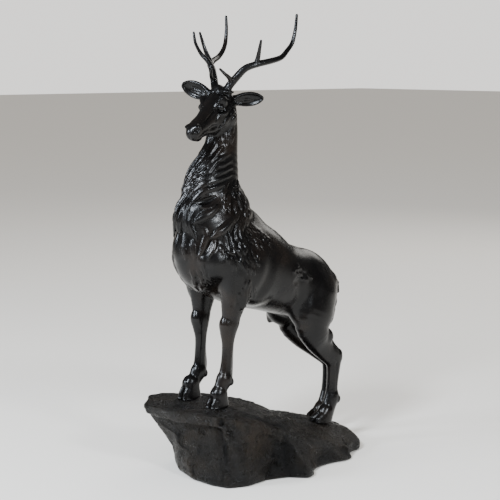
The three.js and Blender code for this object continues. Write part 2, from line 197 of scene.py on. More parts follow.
def add_bulge(field, centre, halves, tilt=0.0, turn=0.0, blend=6.0, cut=False):
    """An ellipsoid of half sizes along X, Y and Z, tilted about Y and then turned about Z, in degrees."""
    spin = np.array(Matrix.Rotation(math.radians(turn), 3, "Z") @ Matrix.Rotation(math.radians(tilt), 3, "Y"))
    centre = np.array(centre, dtype=float)
    reach = max(halves) + SHELL + blend
    part, spans = field.window(centre - reach, centre + reach)
    u, v, w = [offsets(spans, centre, spin[:, i]) for i in range(3)]
    field.shape(part, ellipsoid_distance(u, v, w, *halves), blend, cut)


def add_strand(field, points, radii, outward, blend=0.6, flat=0.85, cut=False):
    """A tapering strand, flattened against the surface that outward points away from."""
    path = np.column_stack([points, radii, np.array(radii) * flat])
    sides = np.cross(np.gradient(path[:, :3], axis=0), outward)
    add_chain(field, path, sides, blend, cut)


# Body: stations of x, z, half breadth and half depth for the trunk and the neck, and of x, y, z, half
# breadth, half depth and the share of the right leg's shift for the legs.

TRUNK = [
    (-84, 236, 20, 26), (-64, 229, 34, 41), (-36, 222, 38, 47), (-8, 212, 39, 47), (20, 198, 37, 40.5),
    (46, 189, 33, 39), (68, 182, 31, 39), (85, 172, 27, 31), (94, 168, 18.5, 24),
]
NECK = [
    (-43, 376, 12, 15), (-44, 356, 13.4, 16.8), (-46.5, 337, 15.2, 18.8), (-53.5, 312, 18.4, 27),
    (-58.5, 293, 22, 32), (-56, 268, 30.5, 45.5), (-60.5, 248, 34.5, 40), (-66, 228, 32, 30),
]
FORE_LEG = [
    (-50, 27, 208, 14, 21, 0), (-50, 27, 190, 12, 18, 0), (-52, 26, 175, 9.5, 14, 0),
    (-54, 25, 163, 7.8, 11, 0), (-56, 24.5, 155, 8.3, 10.8, 0), (-57, 24, 147, 7.2, 9.3, 0.2),
    (-57.5, 24, 135, 5.3, 6.8, 0.5), (-59, 24, 118, 5, 6.4, 0.7), (-61, 24, 105, 5.6, 7.2, 1),
    (-62.5, 24, 98, 7.3, 9.4, 1), (-67, 24, 90, 6.3, 8, 0.8), (-70.5, 24, 83, 6.8, 8.4, 0.3),
]
HIND_LEG = [
    (74, 20, 174, 16, 24, 0.1), (66, 24, 156, 15, 26.5, 0.4), (62, 25, 142, 13, 23, 0.6),
    (67, 25, 128.7, 11.3, 18, 0.75), (75, 23, 118.4, 9.3, 15, 0.85), (85, 22, 108, 7.6, 12.4, 0.92),
    (97, 21, 98.5, 7.2, 12, 0.96), (98.5, 21, 88.3, 6.2, 9.2, 1), (97, 21, 72.3, 5.4, 7.5, 1),
    (96, 21, 61, 5.4, 7.7, 1), (96, 21, 52.7, 6.9, 9.5, 1), (92, 21, 44, 6.5, 8.9, 1),
    (88.5, 21, 37, 7.3, 9.3, 1),
]
RIGHT_FORE_SHIFT = 3.0
RIGHT_HIND_REACH = np.array([27.0, -6.0, -8.0])
# On each side, with half sizes, tilt and blend: the breast, shoulder, ribs, haunch, rump and thigh, and
# the muscles of the thigh, hock and upper foreleg
MASSES = [
    ((-71, 20, 224), (20, 20, 22), 0, 6), ((-50, 27, 216), (22, 15, 38), -12, 6),
    ((-24, 22, 206), (30, 18, 34), -20, 8), ((68, 18, 170), (33, 17, 32), 25, 6),
    ((99, 12, 185), (8.5, 8, 9), 0, 6), ((60, 20, 158), (28, 14, 24), 35, 6),
    ((52, 28, 160), (7, 7, 24), 18, 4), ((74, 29, 166), (8, 6.5, 26), -6, 4),
    ((85, 24, 164), (6, 6, 20), -8, 4), ((84, 27, 127), (6, 5, 9), -30, 3),
    ((-62, 33, 196), (6, 6, 20), -8, 4), ((-46, 36, 190), (6, 5, 18), 6, 4),
]
# With their blend: the hollows behind the shoulder, in front of the thigh and beside the point of the hip
FLANK_HOLLOWS = [
    ([(-8, 46, 232, 4, 4), (-14, 46, 206, 5, 4), (-26, 42, 184, 4, 4)], 9),
    ([(38, 39, 200, 3, 3), (36, 38.5, 182, 4, 4), (38, 35, 160, 4, 4)], 9),
    ([(28, 38, 193, 2, 2), (40, 37, 197, 2.4, 2.4), (54, 34, 206, 2, 2)], 5),
]
TAIL = [(100, 0, 187, 7, 6), (110, 0, 184, 6.5, 5), (118, -1, 178, 5.5, 4), (121.5, -2, 169, 2.6, 2.4)]


def add_body(field):
    add_limb(field, [(x, 0, z, broad, deep) for x, z, broad, deep in TRUNK], 6, 4)
    add_limb(field, [(x, 0, z, broad, deep) for x, z, broad, deep in NECK], 4, 6)
    add_bulge(field, (-12, 0, 250), (19, 15, 23), -10, blend=8)
    for side in (-1, 1):
        for (x, y, z), halves, tilt, blend in MASSES:
            add_bulge(field, (x, side * y, z), halves, tilt, blend=blend)
        for stations, blend in FLANK_HOLLOWS:
            add_limb(field, [(x, side * y, z, b, d) for x, y, z, b, d in stations], 3, blend, cut=True)
    add_limb(field, TAIL, 3, 2)


def right_shift(side, share):
    """How much further back the right hind leg stands than the left one."""
    if side < 0:
        return np.zeros(3)
    return RIGHT_HIND_REACH * share


def add_fore_leg(field, side):
    shift = RIGHT_FORE_SHIFT if side > 0 else 0.0
    add_limb(field, [(x + shift * s, side * y, z, b, d) for x, y, z, b, d, s in FORE_LEG], 3, 3)
    # Knee cap, the knob behind the knee, the tendon down to the fetlock, the forearm's edge
    add_bulge(field, (-62.5, side * 24.5, 156), (4.2, 6.5, 8), blend=2.5)
    add_bulge(field, (-48.5, side * 25, 158), (3.4, 4, 6), blend=3)
    add_limb(field, [(-50.5, side * 24, 148, 2.2, 2.2), (-52, side * 24, 132, 1.8, 1.8),
                     (-53.5 + shift, side * 24, 108, 2.2, 2.2),
                     (-54.5 + shift, side * 24, 99, 2.6, 2.6)], 3, 1.4)
    for toe in (-1, 1):
        add_bulge(field, (-55.5 + shift, side * 24 + toe * 3.2, 95), (2.8, 2.6, 4), 10, blend=1.4)
        add_limb(field, [(-60, side * 24 + toe * 8.5, 142, 1, 1),
                         (-60.5 + shift * 0.6, side * 24 + toe * 6.6, 120, 1, 1),
                         (-62 + shift, side * 24 + toe * 7.2, 104, 1, 1)], 3, 2.5, cut=True)


def add_hind_leg(field, side):
    stations = []
    for x, y, z, b, d, share in HIND_LEG:
        at = right_shift(side, share)
        stations.append((x + at[0], side * (y + at[1]), z + at[2], b, d))
    add_limb(field, stations, 3, 3)
    at = right_shift(side, 0.96)
    foot = right_shift(side, 1)

    def hind(x, y, z, shift, *halves):
        return (x + shift[0], side * (y + shift[1]), z + shift[2], *halves)

    # Point of the hock, the tendon above it, the tendon below it
    add_bulge(field, hind(105.5, 21, 99, at), (4.6, 5, 8), 12, blend=2.5)
    add_limb(field, [hind(105, 21, 104, at, 3, 3), hind(97, 21.5, 113, at * 0.95, 2.4, 2.6),
                     hind(88, 22, 124, at * 0.85, 3, 4)], 3, 2)
    add_limb(field, [hind(104, 21, 92, foot, 2.4, 2.4), hind(102, 21, 76, foot, 1.9, 1.9),
                     hind(101.5, 21, 60, foot, 2.6, 2.6)], 3, 1.4)
    for toe in (-1, 1):
        add_bulge(field, hind(103, 21 + toe * 3.2, 50, foot), (2.8, 2.6, 4.4), 10, blend=1.4)
        add_limb(field, [hind(97, 21 + toe * 7, 92, foot, 1, 1), hind(98, 21 + toe * 6.8, 74, foot, 1, 1),
                         hind(98, 21 + toe * 6.6, 60, foot, 1, 1)], 3, 2.5, cut=True)


def add_hoof(field, x, y, z, lean, forward):
    """A cloven hoof on the sole point x, y, z, with its toe forward of it."""
    for toe in (-1, 1):
        add_limb(field, [(x + 3 + lean, y + toe * 2.4, z + 17, 4.6, 7.2),
                         (x + 1 + lean * 0.6, y + toe * 3.4, z + 11, 4.7, 9),
                         (x - forward * 0.12, y + toe * 4.0, z + 4, 4.7, forward * 0.5 + 6),
                         (x - forward * 0.18, y + toe * 4.3, z - 5, 5, forward * 0.5 + 7.2)], 2, 0.8)
    split = x - forward
    add_limb(field, [(split + 5, y, z + 14, 0.8, 3), (split, y, z + 5, 0.9, 4), (split - 2, y, z - 4, 1, 5)],
             2, 0.6, cut=True)
    # A low fold where hair meets horn
    add_limb(field, [(x + lean, y, z + 14.6, 8.0, 9.4), (x + 1 + lean, y, z + 16.4, 7.9, 9.0)], 1, 1.5)


def add_legs(field):
    for side in (-1, 1):
        add_fore_leg(field, side)
        add_hind_leg(field, side)
    add_hoof(field, -70, -24, 68, -1, 11)
    add_hoof(field, -70, 24, 71, -1, 11)
    add_hoof(field, 82, -21, 22, 4, 16)
    add_hoof(field, 109, 15, 14, 4, 16)


# Head: places are along the face from the poll, out from it, and to the stag's left.

POLL = np.array([-48.0, 0.0, 397.0])
HEAD_TURN = math.radians(22)
HEAD_DROP = math.radians(26)
LEVEL = np.array([-math.cos(HEAD_TURN), -math.sin(HEAD_TURN), 0.0])
MUZZLEWARD = LEVEL * math.cos(HEAD_DROP) - UP * math.sin(HEAD_DROP)
BROWWARD = LEVEL * math.sin(HEAD_DROP) + UP * math.cos(HEAD_DROP)
LEFTWARD = np.cross(UP, LEVEL)
# Stations along the face: the profile's top and bottom, and half the breadth
FACE = [
    (-6, -2, -17, 10), (0, 2, -26, 13.6), (8, 4, -33, 15.5), (17, 4.3, -35.5, 15.6), (25, 3, -34, 13.4),
    (33, 1.6, -31, 11), (41, 0.3, -27.5, 9), (50, -0.6, -24.5, 7.6), (58, -0.6, -22.5, 7.8),
    (65, -2, -21.3, 8.2), (68.5, -5, -18.5, 6.6),
]


def on_head(along, out, left):
    return POLL + MUZZLEWARD * along + BROWWARD * out + LEFTWARD * left


def add_head_ball(field, along, out, left, size, blend, cut=False):
    add_bulge(field, on_head(along, out, left), (size, size, size), blend=blend, cut=cut)


def add_crease(field, spots, radius, blend=0.8, cut=True):
    """A line cut into the head, or a fold raised on it, through spots, thinning at both ends."""
    path, outward = field.settle(smooth_path([on_head(*spot) for spot in spots], 3))
    radii = radius * np.sin(np.linspace(0.35, math.pi - 0.35, len(path)))
    add_strand(field, path, radii, outward, blend, 1, cut)


def add_eye(field, side):
    """A round eyeball in a deep socket, under a ridge of brow. It looks out and a little ahead."""
    centre = np.array([22.8, -5.6, side * 10.6])
    look = unit(np.array([0.55, 0.05, side * 0.84]))
    brow = [(15, 1, side * 12.5), (20, 2, side * 11.2), (25, 0.5, side * 9.4), (28.5, -3, side * 9)]
    add_crease(field, brow, 2.6, 1.6, cut=False)
    under_eye = [(16, -12.5, side * 14), (22, -12.6, side * 13), (28, -11, side * 11)]
    add_crease(field, under_eye, 1.5, 0.8, cut=False)
    add_head_ball(field, *(centre + look * 4.2), 5.6, 0.8, cut=True)
    add_head_ball(field, *(centre + look * 0.4), 3.9, 0.2)
    # The tear line from the front corner of the eye, and the folds under it
    add_crease(field, [(28, -8, side * 10.6), (32, -11, side * 10.2), (37, -14, side * 9.4)], 1.1)
    for i in range(3):
        fold = [(20 + 4 * i + 1.5 * j, -17 - 2.2 * i - 2.6 * j, side * 13) for j in range(3)]
        add_crease(field, fold, 1.3, 0.6, cut=False)


def add_head(field):
    rings = [(*on_head(u, (top + bottom) / 2, 0), half, (top - bottom) / 2) for u, top, bottom, half in FACE]
    add_limb(field, rings, 2, 3, LEFTWARD)
    add_head_ball(field, 2, 2.5, 0, 7, 4)
    add_head_ball(field, 62, -18.5, 0, 5, 2)
    for side in (-1, 1):
        add_head_ball(field, 15.5, -1.6, side * 10.6, 5.3, 3)
        add_head_ball(field, 11, -23, side * 9.2, 8.6, 4)
        add_head_ball(field, 65.5, -6.6, side * 4.6, 4.1, 1.5)
        add_eye(field, side)
        # The line from the brow along the nose, and the hollow in front of the jaw
        nose_line = [(27, -4, side * 9), (35, -5.2, side * 8), (44, -6.6, side * 7.6), (53, -7.4, side * 7)]
        add_crease(field, nose_line, 1.4, 1.2)
        add_crease(field, [(34, -22, side * 11.5), (40, -20, side * 10.6), (47, -19, side * 9.6)], 2.2, 4)
        # Nostril, its rim, and the mouth from under the nose to the cheek
        nostril = [(70, -6.5, side * 4.6), (68.4, -7.6, side * 7.2), (65.5, -7.2, side * 9)]
        add_crease(field, nostril, 2.0, 0.5)
        rim = [(66.5, -4.3, side * 8.4), (62.8, -6.6, side * 9.2), (66, -9.8, side * 8.2)]
        add_crease(field, rim, 0.9, 0.8, cut=False)
        mouth = [(72, -14, side * 2), (68, -14.8, side * 7.6), (60, -15, side * 8.6),
                 (51, -16.6, side * 8.6), (44, -18.6, side * 9.2)]
        add_crease(field, mouth, 1.1, 0.6)
    add_crease(field, [(72, -8, 0), (71.5, -14, 0)], 0.8)


def add_ear(field, base, reach, opening, wide):
    """A cupped leaf from base along reach, hollow towards opening."""
    length = np.linalg.norm(reach)
    axis = reach / length
    opening = unit(opening - axis * np.dot(opening, axis))
    side = np.cross(opening, axis)

    def ring(t, out, broad, deep):
        return (*(base + axis * length * t + opening * out), broad * wide, deep)

    outer = [(0, -1, 5, 5), (0.12, -1.2, 5.6, 5), (0.35, -1.6, 7.4, 4.6), (0.6, -1.2, 7.8, 3.8),
             (0.82, -0.6, 6, 2.8), (0.95, 0, 3, 1.8)]
    inner = [(0.12, 2.8, 2.4, 2.2), (0.35, 2.2, 5.6, 4.4), (0.6, 1.9, 6.3, 3.9), (0.8, 1.5, 4.4, 2.7),
             (0.91, 1.2, 1.8, 1.3)]
    add_limb(field, [ring(*station) for station in outer], 3, 2.5, side)
    add_limb(field, [ring(*station) for station in inner], 3, 0.8, side, cut=True)
    for spread in (-2.4, 0.2, 2.6):
        path = [base + axis * length * (0.16 + 0.1 * i) + side * spread * wide * math.sin(0.5 + 0.4 * i)
                - opening * deep for i, deep in enumerate((-0.2, 0.9, 1.7, 1.8, 1.6, 1.4))]
        add_strand(field, np.array(path), (0.9, 0.9, 0.9, 0.8, 0.7, 0.5), [opening] * 6, 0.7)


def add_ears(field):
    add_ear(field, POLL - LEVEL * 8 + LEFTWARD * 10 - UP * 9,
            LEFTWARD * 29.5 - LEVEL * 15 + UP * 3, LEVEL - UP * 0.25, 1.0)
    add_ear(field, POLL - LEVEL - LEFTWARD * 12 - UP * 4.5,
            LEVEL * 6 - LEFTWARD * 31 + UP * 12.5, LEVEL - UP * 0.1, 1.2)


# Antlers: places are back from the root, out to the side, and up.

ANTLER_TURN = math.radians(16)
ANTLER_AHEAD = np.array([-math.cos(ANTLER_TURN), -math.sin(ANTLER_TURN), 0.0])
ANTLER_ROOT = np.array([-46.0, 0.0, 399.0])
ANTLER_GAP = 8.0
RIGHT_SPREAD = 1.1
BEAM = [
    (0, 0, -6), (0, 0, 2), (8, 6.8, 14.5), (14, 12.6, 22.5), (22, 19.6, 26.5), (40, 28, 30.5),
    (54, 31.4, 34), (63, 32, 40), (71, 33.6, 48), (74.5, 34.5, 57), (76.5, 35.2, 67), (77, 36, 78.5),
]
BROW_TINE = [(3, 3, 8), (-1, 3, 13), (-6, 1, 17), (-10, -2.5, 22)]
LEFT_TINE = [(24, 20, 27), (23, 23, 35), (21, 26, 43), (19, 29, 51)]
RIGHT_TINE = [(27, 22, 28), (25, 26, 38), (23, 29, 49), (22, 32, 60)]
FRONT_TINE = [(14, 11, 20), (12, 16, 30), (10, 23, 38), (8, 28, 49), (8, 30, 60)]


def on_antler(back, out, rise, side):
    left = -side * (ANTLER_GAP + out * (RIGHT_SPREAD if side > 0 else 1))
    return ANTLER_ROOT - ANTLER_AHEAD * back + np.cross(UP, ANTLER_AHEAD) * left + UP * rise


def add_tine(field, places, side, thick, thin):
    """An antler branch through places, with shallow furrows along it."""
    share = np.linspace(0, 1, len(places)) ** 1.1
    radii = (thick + (thin - thick) * share) / 2
    stations = [(*on_antler(*place, side), r, r) for place, r in zip(places, radii)]
    add_limb(field, stations, 4, 1.4, (1, 0.3, 0))
    path = smooth_path(stations, 4)
    ahead = np.gradient(path[:, :3], axis=0)
    across = unit(np.cross(ahead, UP + 0.3 * ACROSS))
    for turn in np.arange(5) / 5 * math.tau:
        out = across * math.cos(turn) + unit(np.cross(across, ahead)) * math.sin(turn)
        furrow = (path[:, :3] + out * (path[:, 3:4] + 0.25))[1:int(len(path) * 0.75)]
        add_strand(field, furrow, np.full(len(furrow), 0.62), out[:len(furrow)], 0.5, 1, cut=True)


def add_antlers(field):
    for side in (-1, 1):
        add_tine(field, BEAM, side, 9, 3)
        add_tine(field, BROW_TINE, side, 6, 2.6)
        add_tine(field, LEFT_TINE if side < 0 else RIGHT_TINE, side, 6, 2.6)
        # The rough ring round the root
        for angle in np.arange(11) / 11 * math.tau:
            spot = on_antler(math.cos(angle) * 5, math.sin(angle) * 5, -1.5, side)
            add_bulge(field, spot, (1.8, 1.8, 1.6), blend=1)
    add_tine(field, FRONT_TINE, 1, 6, 2.6)


# Hair: every lock is a guide path, a breadth, a rise and a number of strands.

def on_neck(drop, turn):
    """A place on the neck: drop runs from 0 under the head to 1 at the breast, and turn is in degrees
    from the throat, positive on the stag's left."""
    spot = min(max(drop, 0.0), 1.0) * (len(NECK) - 1)
    i = min(int(spot), len(NECK) - 2)
    above, below = np.array(NECK[i]), np.array(NECK[i + 1])
    x, z, broad, deep = above + (below - above) * (spot - i)
    angle = math.radians(turn)
    return np.array([x - math.cos(angle) * deep, -math.sin(angle) * broad, z])


def mane_guide(drop, turn, fall, sweep, side, curl=0.0):
    """A path that sweeps forward round the neck and turns down more and more."""
    guide = []
    for t in np.linspace(0, 1, 13):
        wave = curl * math.sin(math.tau * t)
        down = fall * (0.25 * t + 0.75 * t ** 1.9 + wave)
        forward = sweep * (1 - (1 - t) ** 1.5 - 0.6 * wave)
        guide.append(on_neck(drop + down, side * (turn - forward)))
    return np.array(guide)


# Locks of the mane on each side: places as (drop, turn), breadth and rise.
SIDE_LOCKS = [
    ([(0.30, 92), (0.33, 64), (0.36, 48), (0.40, 41), (0.44, 27), (0.48, 10)], 6.5, 3.2),
    ([(0.34, 103), (0.365, 76), (0.38, 57), (0.42, 50), (0.47, 31), (0.50, 5)], 6.5, 3.8),
    ([(0.385, 105), (0.405, 77), (0.425, 60), (0.475, 42), (0.51, 23), (0.545, 6)], 7, 3.2),
    ([(0.43, 103), (0.455, 75), (0.47, 55), (0.50, 36), (0.545, 20), (0.59, 12)], 7.5, 3.8),
    ([(0.485, 92), (0.515, 67), (0.535, 46), (0.57, 32), (0.61, 21), (0.66, 19)], 8.5, 3.4),
    ([(0.60, 76), (0.645, 58), (0.648, 42), (0.63, 28)], 3.4, 3.4),
    ([(0.635, 72), (0.675, 56), (0.705, 41), (0.74, 30)], 9.5, 4.4),
    ([(0.70, 96), (0.765, 80), (0.81, 67), (0.84, 56)], 9.5, 4.0),
    ([(0.24, 66), (0.28, 52), (0.33, 40), (0.38, 26), (0.42, 14)], 5.5, 3.0),
    ([(0.20, 44), (0.25, 33), (0.31, 24), (0.38, 13), (0.44, 2)], 5.5, 3.4),
    ([(0.17, 22), (0.22, 16), (0.28, 11), (0.35, 4), (0.41, -4)], 5, 3.4),
    ([(0.58, 15), (0.64, 14), (0.70, 16), (0.77, 20), (0.82, 22)], 6, 3.0),
    ([(0.66, 30), (0.72, 24), (0.79, 27), (0.86, 34)], 6, 2.6),
    ([(0.76, 44), (0.82, 49), (0.90, 44), (0.98, 38)], 5.5, 1.6),
    ([(0.83, 62), (0.91, 61), (1.0, 55)], 6, 1.6),
    ([(0.79, 78), (0.88, 81), (0.97, 88)], 6, 1.5),
    ([(0.74, 102), (0.84, 108), (0.92, 112)], 6, 1.3),
    ([(0.82, 9), (0.91, 10), (1.0, 12)], 5.5, 1.0),
    ([(0.86, 26), (0.93, 27), (1.0, 28)], 5.5, 1.0),
]
# Locks down the throat, whose tips stand clear of the neck
THROAT_LOCKS = [
    ([(0.22, 4), (0.30, -4), (0.38, -10), (0.45, -12), (0.50, -12)], 7, 9.0),
    ([(0.36, 0), (0.44, -8), (0.52, -12), (0.58, -12)], 7.5, 8.5),
    ([(0.48, 2), (0.56, -6), (0.64, -9), (0.70, -8)], 8.5, 6.5),
    ([(0.60, 8), (0.68, 4), (0.76, 0), (0.82, 2)], 8.5, 5.0),
]
HOLLOW_UNDER_LOCK = [(0.625, 29), (0.615, 41), (0.60, 54), (0.585, 67)]


def neck_path(places, side):
    return smooth_path([on_neck(drop, side * turn) for drop, turn in places], 3)


def mane_locks():
    locks = []
    for places, breadth, rise in THROAT_LOCKS:
        locks.append((neck_path(places, 1), breadth, rise, 3))
    for side in (-1, 1):
        # Faint hair under the jaw and down the nape, and short fur behind the long locks
        for row in range(15):
            for turn in np.arange(10, 176, 20):
                long_locks = 0.16 < 0.05 * row and turn < (100 if row < 9 else 82)
                if long_locks or row > 9 and turn > 140:
                    continue
                wander = turn + 10 * (row % 2) + rng.uniform(-6, 6)
                if row < 9 and turn > 108:
                    continue
                rise = 0.5 if row < 7 or turn > 125 else 1.5
                fall = rng.uniform(0.05, 0.1)
                drop = 0.03 + 0.05 * row + rng.uniform(-0.012, 0.012)
                locks.append((mane_guide(drop, wander, fall, 9, side), 4.2, rise, 2))
        for places, breadth, rise in SIDE_LOCKS:
            locks.append((neck_path(places, side), breadth, rise, 3 if breadth < 7 else 4))
    return locks


def tuft_guide(centre, across, down, lean, length, start):
    """A short path on a patch of coat, starting at start = (across share, down share)."""
    root = np.array(centre) + np.array(across) * start[0] + np.array(down) * start[1]
    ahead = unit(np.array(down, dtype=float) + np.array(across, dtype=float) * lean)
    return np.array([root + ahead * length * t for t in np.linspace(-0.2, 1, 6)])


def coat_patch(centre, across, down, counts, lean, length, breadth, rise):
    """Rows of small tufts over a patch with half sizes across and down."""
    locks = []
    columns, rows = counts
    for row in range(rows):
        for column in range(columns):
            start = ((column + 0.5 * (row % 2) + rng.uniform(-0.35, 0.35)) / max(columns - 1, 1) * 2 - 1,
                     (row + rng.uniform(-0.35, 0.35)) / max(rows - 1, 1) * 2 - 1)
            if start[0] ** 2 + start[1] ** 2 > 1.3:
                continue
            wander = lean + rng.uniform(-0.4, 0.4)
            guide = tuft_guide(centre, across, down, wander, length * rng.uniform(0.6, 1.3), start)
            locks.append((guide, breadth * rng.uniform(0.7, 1.2), rise * rng.uniform(0.5, 1.2), 2))
    return locks


def coat_locks():
    locks = []
    for side in (-1, 1):
        # Shoulder, withers, breast, front of the flank, hip, back of the thigh
        locks += coat_patch((-52, side * 40, 236), (20, 0, 0), (6, 0, -19), (8, 7), -0.1, 8, 3.4, 1.1)
        locks += coat_patch((-26, side * 32, 252), (17, 0, -4), (6, 0, -15), (7, 6), 0.1, 7, 3.2, 0.9)
        locks += coat_patch((-82, side * 14, 214), (0, side * 12, 0), (2, 0, -16), (5, 5), 0, 9, 3.6, 1.0)
        locks += coat_patch((36, side * 36, 205), (14, 0, -3), (3, 0, -8), (7, 4), 0.5, 6, 2.8, 1.1)
        locks += coat_patch((88, side * 20, 148), (5, side * -7, 0), (-8, 0, -16), (3, 6), 0.1, 7, 3.4, 1.8)
        locks += coat_patch((-42, side * 34, 192), (12, 0, 0), (0, 0, -12), (5, 4), 0.1, 7, 2.8, 0.6)
    return locks


def face_locks():
    locks = []
    for side in (-1, 1):
        for i in range(6):
            for j in range(3):
                along, out = 6 + 5.2 * i - 1.6 * j, -16 - 5 * j - 0.9 * i
                guide = [on_head(along + 6 * t, out - 3.5 * t, side * 15) for t in np.linspace(0, 1, 6)]
                locks.append((np.array(guide), 3.2, 1.2, 2))
        for i in range(4):
            left = side * (2.2 + 2.6 * i)
            guide = [on_head(-2 + 11 * t, 5 - t, left * (1 - 0.15 * t)) for t in np.linspace(0, 1, 6)]
            locks.append((np.array(guide), 2.6, 1.0, 2))
    return locks


def tail_locks():
    locks = []
    for turn in np.arange(9) / 9 * math.tau:
        for row in range(2):
            top = 185 - 7 * row
            x, y = 113 + math.cos(turn) * 6, math.sin(turn) * 5
            guide = [(x, y, top - 10 * t) for t in np.linspace(0, 1, 6)]
            locks.append((np.array(guide), 3.6, 0.8, 2))
    return locks


CORED_RISE = 3.0
LONGEST_STEP = 9.0


def add_lock(field, path, outward, breadth, rise, strands):
    """Strands side by side that part at the root, meet at the tip and lift off the surface.
    A lock that rises far has a thicker strand under them, so that no gap opens below it."""
    t = np.linspace(0, 1, len(path))
    across = unit(np.cross(np.gradient(path, axis=0), outward))
    swell = np.sin(np.pi * np.clip(0.1 + 0.9 * t, 0, 1)) ** 0.6
    lift = rise * (0.8 * t ** 0.8 - 0.35)
    size = breadth / strands * 0.68
    if rise > CORED_RISE:
        core = np.maximum(breadth * 0.34 * swell * (1 - 0.7 * t ** 4), 0.5)
        add_strand(field, path + outward * (lift * 0.4)[:, None], core, outward, 0.8, 0.9)
    for i in range(strands):
        place = i / (strands - 1) - 0.5
        crown = rise * 0.3 * (1 - 4 * place ** 2)
        sway = 0.12 * np.sin(4.5 * t + 2.1 * i) * breadth / strands
        points = path + across * (place * breadth * 0.68 * swell + sway)[:, None]
        points = points + outward * (lift + crown * swell)[:, None]
        radii = np.maximum(size * (0.35 + 0.65 * swell) * (1 - 0.6 * t ** 4), 0.45)
        add_strand(field, points, radii, outward, 0.45, 0.9)


def add_hair(field):
    """All the locks. One whose path jumps from one form to another when it settles is left out."""
    for side in (-1, 1):
        hollow, outward = field.settle(neck_path(HOLLOW_UNDER_LOCK, side))
        radii = 4.2 * np.sin(np.linspace(0.3, math.pi - 0.3, len(hollow)))
        add_strand(field, hollow, radii, outward, 1, 0.8, cut=True)
    locks = mane_locks() + coat_locks() + face_locks() + tail_locks()
    settled = [(*field.settle(guide), *rest) for guide, *rest in locks]
    for path, outward, breadth, rise, strands in settled:
        if np.max(np.linalg.norm(np.diff(path, axis=0), axis=1)) < LONGEST_STEP:
            add_lock(field, path, outward, breadth, rise, strands)


# Rock: blocks by their corners, rounded pads under the hooves, and bowls by centre and half sizes.

LEDGE = 70.0
SLAB = 12.0
ROCK_TOP = LEDGE + 12
EDGE_ROUNDING = 1.6
SLAB_EDGE = [(-119, 2), (-110, -28), (-99, -57), (-80, -60), (-60, -52), (-52, 30), (-70, 60), (-80, 66),
             (-97, 65), (-124, 37)]
BOULDERS = [
    [(-108, 4, 62), (-96, -46, 62), (-76, -50, 62), (-60, 44, 62), (-92, 58, 62), (-118, 36, 60),
     (-112, 30, 48), (-104, 4, 44), (-88, -34, 42), (-60, -30, 42), (-60, 36, 42), (-98, 48, 40),
     (-102, 26, 38), (-96, 20, 20), (-88, 40, 22), (-90, -8, 20), (-70, 0, 20)],
    [(-98, 2, 60), (-92, -44, 60), (-76, -54, 60), (-56, -45, 60), (-50, 40, 60), (-88, 50, 62),
     (-100, 30, 62), (-102, 4, 0), (-111, -32, 0), (-109, -58, 0), (-102, -78, 0), (-82, -84, 0),
     (-50, -70, 0), (-50, 42, 0), (-76, 38, 0), (-92, 22, 0)],
    [(-92, -58, 69), (-78, -78, 66), (-50, -76, 57), (-20, -74, 46), (4, -60, 35), (-40, -30, 60),
     (-70, -30, 68), (-96, -78, 0), (-81, -85, 0), (-60, -83, 0), (-20, -40, 0), (-60, -20, 0),
     (-92, -72, 30), (-62, -80, 8)],
    [(-78, 40, 70), (-60, -30, 68), (-20, -60, 52), (20, -40, 42), (26, 30, 49), (0, 34, 57), (-40, 44, 67),
     (-80, 42, 0), (-64, -80, 0), (-29, -90, 0), (20, -80, 0), (60, -60, 0), (60, 44, 0), (0, 50, 0)],
    [(-20, -70, 44), (6, -58, 37), (28, -42, 30), (50, -50, 24), (70, -66, 14), (40, 0, 34), (0, -30, 44),
     (-29, -90, 0), (-15, -105, 0), (3, -99, 0), (69, -84, 0), (60, -30, 0), (0, -40, 0), (-16, -100, 14)],
    [(20, -46, 33), (60, -52, 24), (104, -42, 20), (118, -8, 16), (132, 10, 12), (130, 26, 10),
     (60, 38, 34), (20, 30, 42), (66, -6, 32), (69, -84, 0), (100, -64, 0), (118, -44, 4), (132, -6, 0),
     (128, 32, 0), (60, 46, 0), (20, 46, 0), (10, -60, 0), (72, -78, 12), (104, -60, 10)],
]
FOOTINGS = [(-70, -24, 68), (-70, 24, 71), (82, -21, 22), (109, 15, 14)]
SCOOPS = [((-114, -44, 36), (14, 26, 19)), ((-86, -92, 42), (24, 16, 16)), ((6, -100, 30), (24, 22, 17)),
          ((-116, -100, 32), (34, 36, 25))]
HOLLOWS = [((-62, -104, 30), (26, 22, 26)), ((36, -104, 14), (44, 26, 22)), ((96, -84, 6), (24, 20, 14)),
           ((-24, 70, 34), (40, 18, 24)), ((70, 64, 18), (34, 18, 20)), ((-120, -6, 26), (16, 18, 20))]
RIDGES = [
    [(-70, -82, 14), (-45, -75, 20), (-15, -62, 26), (10, -52, 29), (28, -42, 31)],
    [(-100, -60, 60), (-98, -72, 50), (-96, -80, 38), (-92, -84, 27), (-88, -86, 18)],
    [(-60, -66, 60), (-42, -72, 46), (-24, -74, 34)],
]


def add_boulder(field, corners):
    """The convex block round its corners, with slightly rounded edges where it meets the rest."""
    shape = bmesh.new()
    for corner in corners:
        shape.verts.new(corner)
    bmesh.ops.convex_hull(shape, input=shape.verts)
    shape.normal_update()
    places = np.array(corners, dtype=float)
    part, spans = field.window(places.min(axis=0) - SHELL - 3, places.max(axis=0) + SHELL + 3)
    distance = np.float32(-1000)
    for face in shape.faces:
        normal = np.array(face.normal)
        middle = np.array(face.calc_center_median())
        distance = np.maximum(distance, offsets(spans, middle, normal))
    shape.free()
    field.shape(part, distance, EDGE_ROUNDING, False)


def softened(value):
    """The field with every edge rounded a little, outward and inward ones alike."""
    for axis in range(3):
        spread = [np.roll(value, step, axis) for step in (-2, -1, 1, 2)]
        value = (value + sum(spread)) / 5
    return value


